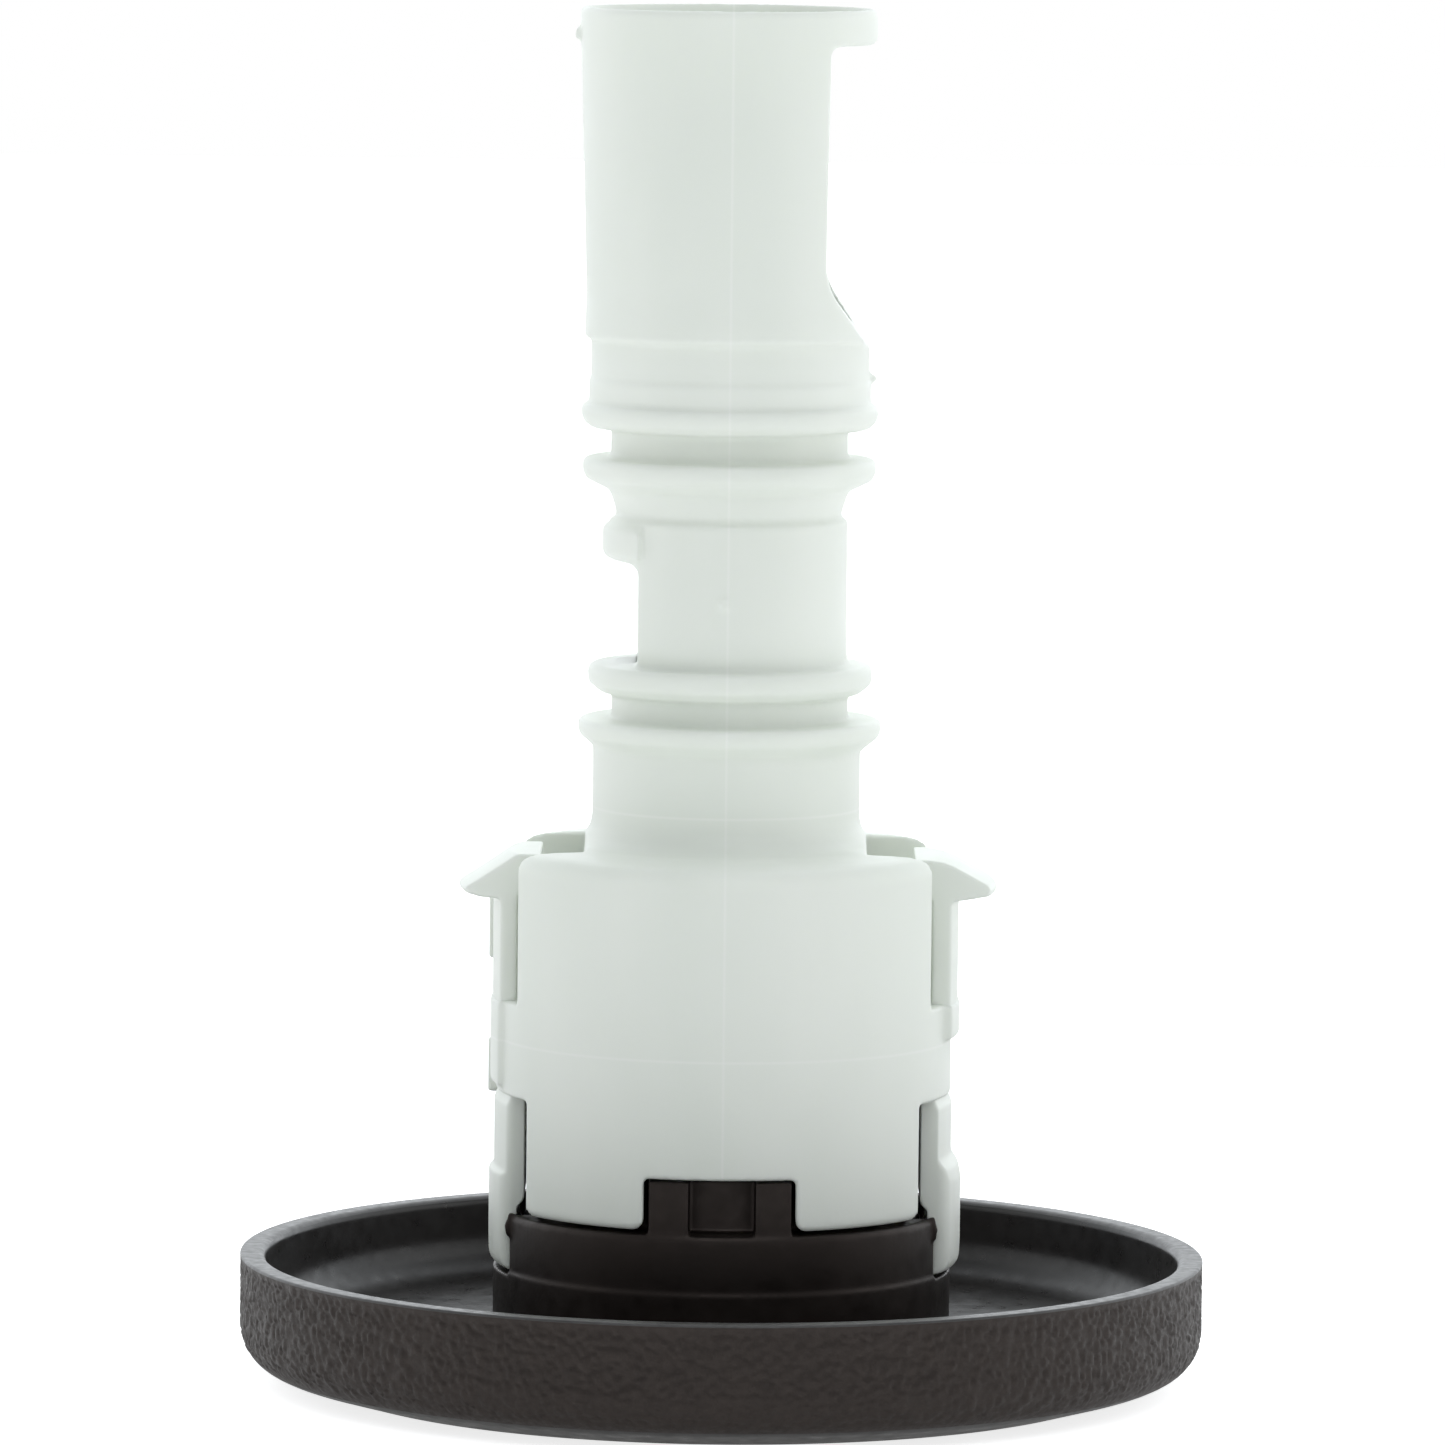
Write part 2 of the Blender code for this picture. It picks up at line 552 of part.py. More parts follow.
def latch_arm(name, white):
    """Upper arm: a tongue from the bell's band with an outward barb at its free end."""
    side, barb_r = SIDES[name], BARB_R[name]
    root = RING_Z[1] + GAP
    tongue = [(LATCH_IN_X, root), (barb_r * 1.1, root), (barb_r * 1.1, LATCH_TOP),
              (LATCH_CROWN_X, LATCH_TOP), (LATCH_CROWN_X, LATCH_TOP - 1.8 * MM),
              (LATCH_IN_X, LATCH_TOP - 4.2 * MM)]
    arm = slab(f"latch_arm_{name}", [(side * x, z) for x, z in tongue], LATCH_HALF, white)
    tip = 0.7 * MM
    guide = turned(f"latch_outside_{name}",
                   [(MM, root - MM), (LATCH_R, root - MM), (LATCH_R, BARB_Z),
                    (barb_r - 0.3 * MM, BARB_Z), (barb_r, BARB_Z + tip),
                    (LATCH_R - 1.0 * MM, LATCH_TOP - 0.6 * MM), (LATCH_R - 1.8 * MM, LATCH_TOP + MM),
                    (MM, LATCH_TOP + MM)])
    combine(arm, guide, "INTERSECT")
    set_origin(arm, (side * LATCH_PIVOT_X, 0, root))


def clip_arm(name, white):
    """Lower arm: a tongue from the band down to the hub's shelf, hooked under the hub's catch."""
    side, pad_r = SIDES[name], CLIP_PAD_R[name]
    root = RING_Z[0] - GAP
    foot = HUB_SHELF_Z + GAP
    relief_top = CATCH_Z[3] + GAP
    slope = (CATCH_Z[1] - CATCH_Z[0]) / (CATCH_OUT_X - SPIGOT_FLAT_X)
    offset = GAP * math.sqrt(1 + slope * slope)

    def ramp_z(x):
        return CATCH_Z[0] + slope * (x - SPIGOT_FLAT_X) - offset

    tongue = [(CLIP_HOOK_X, foot), (pad_r * 1.1, foot), (pad_r * 1.1, root), (CLIP_IN_X, root),
              (CLIP_IN_X, relief_top + CLIP_RELIEF_X - CLIP_IN_X), (CLIP_RELIEF_X, relief_top),
              (CLIP_RELIEF_X, ramp_z(CLIP_RELIEF_X)), (CLIP_HOOK_X, ramp_z(CLIP_HOOK_X))]
    arm = slab(f"clip_arm_{name}", [(side * x, z) for x, z in tongue], CLIP_HALF, white)
    soft = 1.0 * MM
    guide = turned(f"clip_outside_{name}",
                   [(MM, foot - MM), (pad_r - soft, foot - MM), (pad_r, foot + soft),
                    (pad_r, CLIP_PAD_Z), (CLIP_R, CLIP_PAD_Z + soft),
                    (CLIP_R, root + MM), (MM, root + MM)])
    combine(arm, guide, "INTERSECT")
    set_origin(arm, (side * CLIP_PIVOT_X, 0, root))


def main():
    for obj in list(bpy.data.objects):
        bpy.data.objects.remove(obj, do_unlink=True)
    black = plastic("black_plastic", (0.028, 0.024, 0.023), 0.42)
    white = plastic("white_plastic", (0.80, 0.83, 0.80), 0.38)
    rubber = plastic("black_rubber", (0.02, 0.02, 0.02), 0.75)
    metal = steel("stainless_steel")

    knob_dish(black)
    face_insert(black)
    hub_screws(metal)
    knob_hub(black)
    valve_stem(white)
    bore_plug(white, rubber)
    seat_parts(white, rubber)
    poppet_parts(white, rubber, metal)
    spring_guide(white)
    for name in SIDES:
        latch_arm(name, white)
        clip_arm(name, white)


main()
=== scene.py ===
"""Looks of the rotary valve cartridge: white ported stem on a grained black knob."""

import json
import math

import bmesh
import bpy
from mathutils import Matrix, Vector, noise


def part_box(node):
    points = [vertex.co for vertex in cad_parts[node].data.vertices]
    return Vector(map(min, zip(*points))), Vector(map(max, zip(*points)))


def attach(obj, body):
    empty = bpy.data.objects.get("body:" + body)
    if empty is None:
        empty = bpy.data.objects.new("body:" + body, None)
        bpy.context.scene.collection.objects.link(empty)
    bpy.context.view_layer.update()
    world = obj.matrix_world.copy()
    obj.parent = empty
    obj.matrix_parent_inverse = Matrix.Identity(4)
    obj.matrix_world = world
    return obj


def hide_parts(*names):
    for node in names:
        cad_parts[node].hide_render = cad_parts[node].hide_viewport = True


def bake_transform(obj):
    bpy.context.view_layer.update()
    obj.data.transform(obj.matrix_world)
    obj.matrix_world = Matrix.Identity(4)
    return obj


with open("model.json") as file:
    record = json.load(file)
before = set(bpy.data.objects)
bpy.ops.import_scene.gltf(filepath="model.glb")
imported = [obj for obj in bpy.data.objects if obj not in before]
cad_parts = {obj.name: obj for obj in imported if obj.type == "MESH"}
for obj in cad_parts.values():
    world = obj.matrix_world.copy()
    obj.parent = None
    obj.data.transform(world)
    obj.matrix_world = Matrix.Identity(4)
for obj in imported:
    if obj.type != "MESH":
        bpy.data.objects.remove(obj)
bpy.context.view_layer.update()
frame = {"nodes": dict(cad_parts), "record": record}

MM = 0.001
RING_SIDES = 192            # sides of the large turned pieces
SKIN = 0.28 * MM            # spacing of the rebuilt skin of the moulded pieces


def lowest(node):
    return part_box(node)[0]


def highest(node):
    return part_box(node)[1]


# Heights and radii read from the frame
KNOB_R = highest("knob_dish").x
KNOB_H = highest("knob_dish").z
HUB_R = highest("knob_hub").x
SPIGOT_TOP = highest("knob_hub").z
MOUTH_Z = lowest("valve_stem").z
STEM_TOP = highest("valve_stem").z
LATCH_ROOT = lowest("latch_arm_right").z
CLIP_FOOT = lowest("clip_arm_right").z
CLIP_ROOT = highest("clip_arm_right").z
BELL_R = highest("valve_stem").y
LATCH_HALF = highest("latch_arm_right").y
CLIP_HALF = highest("clip_arm_right").y

# Sizes that the frame's boxes don't give
BEVEL = math.radians(15.9)
FACE_R = 40.65 * MM
RIM_IN_R = 46.9 * MM
FLOOR_Z = 5.2 * MM
PLINTH_R = 20.5 * MM
BELL_IN_R = 20.5 * MM
BELL_CEILING = 37.5 * MM
SHOULDER_Z = 55.2 * MM
BAND_Z = (30.3 * MM, 40.0 * MM)
NECK_R = 13.7 * MM
GROOVE_R = 12.1 * MM
TUBE_R = 12.15 * MM
BORE_R = 9.9 * MM
UPPER_BORE_R = 12.4 * MM
FLANGE_TOPS = [68.6 * MM, 74.25 * MM, 95.35 * MM, 100.85 * MM]


# ---------------------------------------------------------------- camera and light

def look_at(obj, target, roll=0.0):
    direction = Vector(target) - obj.location
    turn = direction.to_track_quat("-Z", "Y").to_matrix().to_4x4()
    place = Matrix.Translation(obj.location)
    obj.matrix_world = place @ turn @ Matrix.Rotation(roll, 4, "Z")


def add_camera():
    distance = 1.076
    pitch = math.radians(5.45)
    aim = Vector((-0.44 * MM, 0.0, 68.1 * MM))
    camera = bpy.data.objects.new("camera", bpy.data.cameras.new("camera"))
    bpy.context.scene.collection.objects.link(camera)
    camera.data.angle = math.radians(7.87)
    camera.data.clip_end = 20.0
    camera.location = aim + distance * Vector((0, -math.cos(pitch), math.sin(pitch)))
    look_at(camera, aim, roll=math.radians(0.58))
    bpy.context.scene.camera = camera


def area_light(name, place, target, size, power, colour=(1, 1, 1)):
    light = bpy.data.objects.new(name, bpy.data.lights.new(name, "AREA"))
    bpy.context.scene.collection.objects.link(light)
    light.data.shape = "RECTANGLE"
    light.data.size, light.data.size_y = size
    light.data.energy = power
    light.data.color = colour
    light.location = place
    look_at(light, target)


def add_studio():
    scene = bpy.context.scene
    scene.view_settings.view_transform = "Standard"
    world = bpy.data.worlds.new("studio")
    scene.world = world
    world.use_nodes = True
    tree = world.node_tree
    lit, seen = tree.nodes["Background"], tree.nodes.new("ShaderNodeBackground")
    lit.inputs["Color"].default_value = (0.93, 0.97, 1.0, 1)
    seen.inputs["Color"].default_value = (1, 1, 1, 1)
    # The white sweep behind the object is brighter than the room in front of it
    direction = tree.nodes.new("ShaderNodeTexCoord")
    split = tree.nodes.new("ShaderNodeSeparateXYZ")
    tree.links.new(direction.outputs["Generated"], split.inputs["Vector"])
    fall = tree.nodes.new("ShaderNodeMapRange")
    fall.interpolation_type = "SMOOTHSTEP"
    fall.inputs["From Min"].default_value = -0.1
    fall.inputs["From Max"].default_value = 0.9
    fall.inputs["To Min"].default_value = 0.37
    fall.inputs["To Max"].default_value = 1.75
    tree.links.new(split.outputs["Y"], fall.inputs["Value"])
    tree.links.new(fall.outputs["Result"], lit.inputs["Strength"])
    path = world.node_tree.nodes.new("ShaderNodeLightPath")
    mix = world.node_tree.nodes.new("ShaderNodeMixShader")
    world.node_tree.links.new(path.outputs["Is Camera Ray"], mix.inputs["Fac"])
    world.node_tree.links.new(lit.outputs["Background"], mix.inputs[1])
    world.node_tree.links.new(seen.outputs["Background"], mix.inputs[2])
    world.node_tree.links.new(mix.outputs["Shader"], world.node_tree.nodes["World Output"].inputs["Surface"])
    middle = (0, 0, 0.07)
    area_light("left_softbox", (-0.8, -0.05, 0.2), middle, (0.7, 0.9), 0.95)
    area_light("right_softbox", (0.8, -0.05, 0.2), middle, (0.7, 0.9), 1.4)
    area_light("key_softbox", (0.1, -1.1, 1.05), middle, (0.9, 0.7), 3.4, (0.95, 0.98, 1.0))
    area_light("top_softbox", (0.1, -0.1, 1.4), middle, (0.9, 0.7), 2.6, (0.93, 0.97, 1.0))
    floor = bpy.data.meshes.new("floor")
    reach = 3.0
    floor.from_pydata([(-reach, -reach, 0), (reach, -reach, 0), (reach, reach, 0), (-reach, reach, 0)],
                      [], [(0, 1, 2, 3)])
    floor_obj = bpy.data.objects.new("floor", floor)
    scene.collection.objects.link(floor_obj)
    mat = bpy.data.materials.new("floor_paint")
    mat.use_nodes = True
    shader = mat.node_tree.nodes["Principled BSDF"]
    shader.inputs["Base Color"].default_value = (0.93, 0.93, 0.93, 1)
    shader.inputs["Roughness"].default_value = 0.9
    shader.inputs["Emission Color"].default_value = (1, 1, 1, 1)
    # The sweep looks white to the camera but sends only a little light up at the object
    sight = mat.node_tree.nodes.new("ShaderNodeLightPath")
    glow = mat.node_tree.nodes.new("ShaderNodeMath")
    glow.operation = "MULTIPLY_ADD"
    glow.inputs[1].default_value = 0.5
    glow.inputs[2].default_value = 0.28
    mat.node_tree.links.new(sight.outputs["Is Camera Ray"], glow.inputs[0])
    mat.node_tree.links.new(glow.outputs["Value"], shader.inputs["Emission Strength"])
    floor_obj.data.materials.append(mat)


# ---------------------------------------------------------------- materials

class Shader:
    """A Principled material whose sockets are fed by small procedural networks."""

    def __init__(self, name, **constants):
        self.mat = bpy.data.materials.new(name)
        self.mat.use_nodes = True
        self.tree = self.mat.node_tree
        self.out = self.tree.nodes["Principled BSDF"]
        self.place = self.node("ShaderNodeTexCoord").outputs["Object"]
        for socket, value in constants.items():
            self.out.inputs[socket.replace("_", " ")].default_value = value

    def node(self, kind, **settings):
        made = self.tree.nodes.new(kind)
        for key, value in settings.items():
            setattr(made, key, value)
        return made

    def link(self, source, target):
        self.tree.links.new(source, target)

    def noise(self, scale, detail=3.0, roughness=0.55, stretch=(1, 1, 1)):
        """Noise with this many features per metre."""
        mapping = self.node("ShaderNodeMapping")
        mapping.inputs["Scale"].default_value = stretch
        self.link(self.place, mapping.inputs["Vector"])
        made = self.node("ShaderNodeTexNoise")
        made.inputs["Scale"].default_value = scale
        made.inputs["Detail"].default_value = detail
        made.inputs["Roughness"].default_value = roughness
        self.link(mapping.outputs["Vector"], made.inputs["Vector"])
        return made.outputs["Fac"]

    def ramp(self, source, stops):
        made = self.node("ShaderNodeValToRGB")
        elements = made.color_ramp.elements
        while len(elements) < len(stops):
            elements.new(0.5)
        for element, (position, colour) in zip(elements, stops):
            element.position = position
            element.color = (*colour, 1.0) if len(colour) == 3 else colour
        self.link(source, made.inputs["Fac"])
        return made.outputs["Color"]

    def range(self, source, low, high):
        made = self.node("ShaderNodeMapRange")
        made.inputs["From Min"].default_value = 0.3
        made.inputs["From Max"].default_value = 0.7
        made.inputs["To Min"].default_value = low
        made.inputs["To Max"].default_value = high
        self.link(source, made.inputs["Value"])
        return made.outputs["Result"]

    def stripe(self, axis, place, half_width):
        """Half strength where the axis has this value, fading out to both sides."""
        split = self.node("ShaderNodeSeparateXYZ")
        offset = self.node("ShaderNodeMath", operation="SUBTRACT")
        offset.inputs[1].default_value = place
        distance = self.node("ShaderNodeMath", operation="ABSOLUTE")
        fade = self.node("ShaderNodeMapRange")
        fade.inputs["From Max"].default_value = half_width
        fade.inputs["To Min"].default_value = 0.5
        fade.inputs["To Max"].default_value = 0.0
        self.link(self.place, split.inputs["Vector"])
        self.link(split.outputs[axis], offset.inputs[0])
        self.link(offset.outputs["Value"], distance.inputs[0])
        self.link(distance.outputs["Value"], fade.inputs["Value"])
        return fade.outputs["Result"]

    def mixed(self, share, base, colour):
        """The base colour, mixed with a constant one by a share from 0 to 1."""
        made = self.node("ShaderNodeMixRGB")
        made.inputs["Color2"].default_value = colour
        self.link(share, made.inputs["Fac"])
        self.link(base, made.inputs["Color1"])
        return made.outputs["Color"]

    def colour(self, source):
        self.link(source, self.out.inputs["Base Color"])

    def roughness(self, source):
        self.link(source, self.out.inputs["Roughness"])

    def bumps(self, layers):
        """Stack bump layers, each (source, height in metres)."""
        normal = None
        for source, height in layers:
            bump = self.node("ShaderNodeBump")
            bump.inputs["Distance"].default_value = height
            self.link(source, bump.inputs["Height"])
            if normal:
                self.link(normal, bump.inputs["Normal"])
            normal = bump.outputs["Normal"]
        self.link(normal, self.out.inputs["Normal"])


def white_plastic():
    """Natural polypropylene: milky, satin, with faint flow marks."""
    s = Shader("white_plastic", Subsurface_Weight=0.25, Subsurface_Scale=0.0012, IOR=1.49)
    s.out.inputs["Subsurface Radius"].default_value = (1.0, 1.0, 0.9)
    flow = s.noise(60, detail=2, stretch=(1, 1, 0.35))
    milky_and_seam_highlight = s.ramp(flow, [(0.3, (0.79, 0.825, 0.76)), (0.7, (0.84, 0.865, 0.805))])
    # Painted highlight: the parting line up the front and back, and the ring lines of the neck and the bell,
    # are painted paler where light would catch their ridges
    for axis, place in (("X", 0.0), ("Z", 59.5 * MM), ("Z", 35.9 * MM)):
        milky_and_seam_highlight = s.mixed(s.stripe(axis, place, 0.2 * MM), milky_and_seam_highlight, (0.9, 0.91, 0.87, 1.0))
    s.colour(milky_and_seam_highlight)
    s.roughness(s.range(s.noise(300), 0.36, 0.48))
    s.bumps([(s.noise(90, detail=1), 0.05 * MM), (s.noise(2600, detail=2), 0.006 * MM)])
    return s.mat


def dish_plastic():
    """Satin black inside the dish."""
    s = Shader("dish_plastic", IOR=1.5)
    s.colour(s.ramp(s.noise(150), [(0.3, (0.005, 0.0038, 0.0034)), (0.7, (0.01, 0.0078, 0.007))]))
    s.roughness(s.range(s.noise(500), 0.26, 0.4))
    s.bumps([(s.noise(120, detail=1), 0.03 * MM), (s.noise(3000, detail=2), 0.006 * MM)])
    return s.mat


def grain_plastic():
    """Leather-grained black on the outside of the rim."""
    s = Shader("grain_plastic", IOR=1.5, Specular_Tint=(1.0, 0.86, 0.8, 1.0))
    s.colour(s.ramp(s.noise(700), [(0.3, (0.005, 0.0036, 0.003)), (0.7, (0.012, 0.009, 0.0075))]))
    s.roughness(s.range(s.noise(1500), 0.42, 0.6))
    s.bumps([(s.noise(1800, detail=4), 0.05 * MM)])
    return s.mat


def rim_painted_highlight():
    """Painted highlight on the rim's top edge: a paler black that stands in for the satin sheen the light
    puts on it.
    """
    s = Shader("rim_painted_highlight", IOR=1.5)
    highlight_streaks = s.noise(400, stretch=(1, 1, 4))
    s.colour(s.ramp(highlight_streaks, [(0.3, (0.03, 0.028, 0.028)), (0.7, (0.06, 0.057, 0.056))]))
    s.roughness(s.range(s.noise(900), 0.3, 0.45))
    s.bumps([(s.noise(1500, detail=3), 0.01 * MM)])
    return s.mat


def hub_plastic():
    s = Shader("hub_plastic", IOR=1.45, Specular_Tint=(1.0, 0.84, 0.78, 1.0))
    s.colour(s.ramp(s.noise(180), [(0.3, (0.003, 0.002, 0.0016)), (0.7, (0.007, 0.005, 0.004))]))
    s.roughness(s.range(s.noise(500), 0.34, 0.5))
    s.bumps([(s.noise(200, detail=2), 0.02 * MM), (s.noise(2500, detail=2), 0.008 * MM)])
    return s.mat


def black_rubber():
    s = Shader("black_rubber", IOR=1.5)
    s.colour(s.ramp(s.noise(900), [(0.3, (0.012, 0.012, 0.012)), (0.7, (0.026, 0.026, 0.026))]))
    s.roughness(s.range(s.noise(1200), 0.62, 0.82))
    s.bumps([(s.noise(2500, detail=3), 0.01 * MM)])
    return s.mat


def steel():
    s = Shader("stainless_steel", Metallic=1.0)
    s.colour(s.ramp(s.noise(500), [(0.3, (0.55, 0.55, 0.54)), (0.7, (0.68, 0.68, 0.67))]))
    s.roughness(s.range(s.noise(1500, stretch=(1, 1, 0.1)), 0.2, 0.36))
    s.bumps([(s.noise(4000, stretch=(1, 1, 0.1)), 0.003 * MM)])
    return s.mat


# ---------------------------------------------------------------- shape tools

def arc(centre, radius, start, end, steps=6):
    """Points on an arc in the outline's plane; angles in degrees."""
    angles = [math.radians(start + (end - start) * i / steps) for i in range(steps + 1)]
    return [(centre[0] + radius * math.cos(a), centre[1] + radius * math.sin(a)) for a in angles]


def softened(points, steps=4):
    """Round the corners of a closed outline: each point is (x, z) or (x, z, radius)."""
    result = []
    for index, point in enumerate(points):
        corner = Vector(point[:2])
        if len(point) == 2:
            result.append(tuple(corner))
            continue
        before = Vector(points[index - 1][:2]) - corner
        after = Vector(points[(index + 1) % len(points)][:2]) - corner
        half = before.angle(after) / 2
        reach = min(point[2] / math.tan(half), before.length / 2, after.length / 2)
        radius = reach * math.tan(half)
        middle = corner + (before.normalized() + after.normalized()).normalized() * radius / math.sin(half)
        start = corner + before.normalized() * reach - middle
        end = corner + after.normalized() * reach - middle
        sweep = start.angle_signed(end)
        for i in range(steps + 1):
            turn = Matrix.Rotation(-sweep * i / steps, 2)
            result.append(tuple(middle + turn @ start))
    return result


def add_object(name, bm):
    bmesh.ops.remove_doubles(bm, verts=bm.verts, dist=1e-7)
    bmesh.ops.recalc_face_normals(bm, faces=bm.faces)
    mesh = bpy.data.meshes.new(name)
    bm.to_mesh(mesh)
    bm.free()
    mesh.shade_smooth()
    obj = bpy.data.objects.new(name, mesh)
    bpy.context.scene.collection.objects.link(obj)
    return obj


def turned(name, outline, sides=RING_SIDES):
    """Spin a closed outline of (radius, z) points about the Z axis."""
    bm = bmesh.new()
    verts = [bm.verts.new((max(r, 0.0), 0.0, z)) for r, z in outline]
    edges = [bm.edges.new((a, b)) for a, b in zip(verts, verts[1:] + verts[:1])
             if a.co.x > 0 or b.co.x > 0]
    bmesh.ops.spin(bm, geom=verts + edges, cent=(0, 0, 0), axis=(0, 0, 1),
                   angle=2 * math.pi, steps=sides, use_merge=True)
    return add_object(name, bm)


def slab(name, outline, half_width):
    """Extrude a closed outline of (x, z) points to both sides of the XZ plane."""
    bm = bmesh.new()
    face = bm.faces.new([bm.verts.new((x, -half_width, z)) for x, z in outline])
    grown = bmesh.ops.extrude_face_region(bm, geom=[face])
    moved = [v for v in grown["geom"] if isinstance(v, bmesh.types.BMVert)]
    bmesh.ops.translate(bm, verts=moved, vec=(0, 2 * half_width, 0))
    return add_object(name, bm)


def block(name, corner, opposite):
    """A box between two corners, in any order."""
    low = Vector(map(min, corner, opposite))
    high = Vector(map(max, corner, opposite))
    bm = bmesh.new()
    matrix = Matrix.Translation((low + high) / 2) @ Matrix.Diagonal((*(high - low), 1.0))
    bmesh.ops.create_cube(bm, size=1.0, matrix=matrix)
    return add_object(name, bm)


def bake_modifiers(obj):
    """Replace an object's mesh by what its modifiers make of it."""
    graph = bpy.context.evaluated_depsgraph_get()
    mesh = bpy.data.meshes.new_from_object(obj.evaluated_get(graph))
    obj.modifiers.clear()
    obj.data = mesh


def combine(obj, operation, *others):
    """Boolean the others into obj, in order, and remove them."""
    for other in others:
        modifier = obj.modifiers.new(other.name, "BOOLEAN")
        modifier.operation = operation
        modifier.solver = "EXACT"
        modifier.object = other
    bake_modifiers(obj)
    for other in others:
        bpy.data.objects.remove(other)
    return obj


def moulded(obj, spacing=SKIN, relax=6):
    """Rebuild the skin evenly and relax it, which rounds every cut edge as a mould does."""
    remesh = obj.modifiers.new("skin", "REMESH")
    remesh.mode = "VOXEL"
    remesh.voxel_size = spacing
    smooth = obj.modifiers.new("relax", "SMOOTH")
    smooth.factor = 0.5
    smooth.iterations = relax
    bake_modifiers(obj)
    obj.data.shade_smooth()
    return obj


def finish_piece(obj, material, body, slot, *nodes):
    obj.data.materials.clear()
    obj.data.materials.append(material)
    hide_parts(*nodes)
    if body:
        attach(obj, body)


# ---------------------------------------------------------------- knob

def divided(outline, spacing, wanted):
    """Add points to the outline's segments that start and end where wanted(radius, z) is true."""
    result = []
    for start, end in zip(outline, outline[1:] + outline[:1]):
        result.append(start)
        if wanted(*start) and wanted(*end):
            count = int((Vector(end) - Vector(start)).length / spacing)
            result += [tuple(Vector(start).lerp(Vector(end), i / count)) for i in range(1, count)]
    return result


def leather(point):
    """Height from 0 to 1 of a leather grain: tall flat cells with soft valleys between them."""
    stretched = Vector((point.x, point.y, point.z * 0.75)) * 980.0
    near, next_near = noise.voronoi(stretched)[0][:2]
    cells = min(1.0, (next_near - near) * 3.2)
    return min(1.0, 0.1 + 0.8 * cells + 0.2 * noise.noise(stretched * 1.9))


def grain_wall(dish):
    """Sink the grain's valleys into the grip, fading out under the rim and on the bevel."""
    depth, fade, plain = 0.26 * MM, 0.6 * MM, 0.3 * MM
    for vertex in dish.data.vertices:
        place = vertex.co
        radius = math.hypot(place.x, place.y)
        if radius < RIM_IN_R + 1.2 * MM or place.z > KNOB_H - plain:
            continue
        strength = min(1.0, (KNOB_H - plain - place.z) / fade, (radius - RIM_IN_R - 1.2 * MM) / fade)
        outward = Vector((place.x, place.y, 0)) / radius
        vertex.co = place - outward * depth * strength * (1 - leather(place))


def knob_dish(inside, grain, rim):
    plinth_top, wall = 8.0 * MM, 2.5 * MM
    insert_r, recess = 36.3 * MM, 1.5 * MM
    bevel_z = (KNOB_R - FACE_R) * math.tan(BEVEL)
    outline = softened([
        (0, plinth_top), (PLINTH_R, plinth_top), (PLINTH_R, FLOOR_Z, 0.3 * MM),
        (RIM_IN_R - 0.3 * MM, FLOOR_Z, 4.2 * MM), (RIM_IN_R, KNOB_H, 0.9 * MM),
        (KNOB_R, KNOB_H, 0.25 * MM), (KNOB_R, bevel_z, 4.5 * MM), (FACE_R, 0, 1.2 * MM),
        (insert_r, 0, 0.3 * MM), (insert_r, recess), (PLINTH_R - wall, recess),
        (PLINTH_R - wall, plinth_top - wall), (0, plinth_top - wall)], steps=12)
    outline = divided(outline, 0.22 * MM, lambda r, z: r > KNOB_R - 4 * MM and z < KNOB_H - 0.2 * MM)
    dish = turned("knob_shell", outline, 1000)
    grain_wall(dish)
    finish_piece(dish, inside, "knob", "black_plastic", "knob_dish")
    dish.data.materials.append(grain)
    dish.data.materials.append(rim)
    for face in dish.data.polygons:
        radius = face.center.xy.length
        outside = face.normal.xy.dot(face.center.xy) > 0.3 * radius
        # Faces on the rim's top take the painted highlight material, and the outer wall takes the grain
        if face.center.z > KNOB_H - 0.35 * MM and radius > RIM_IN_R:
            face.material_index = 2
        elif radius > RIM_IN_R + 0.6 * MM and (outside or face.center.z < 3 * MM):
            face.material_index = 1


def face_insert(material):
    low, high = lowest("face_insert").z, highest("face_insert").z
    radius = highest("face_insert").x
    outline = softened([(0, low), (radius, low, 0.4 * MM), (radius, high, 0.1 * MM), (0, high)])
    finish_piece(turned("knob_face_cap", outline), material, "knob", "black_gloss_plastic", "face_insert")


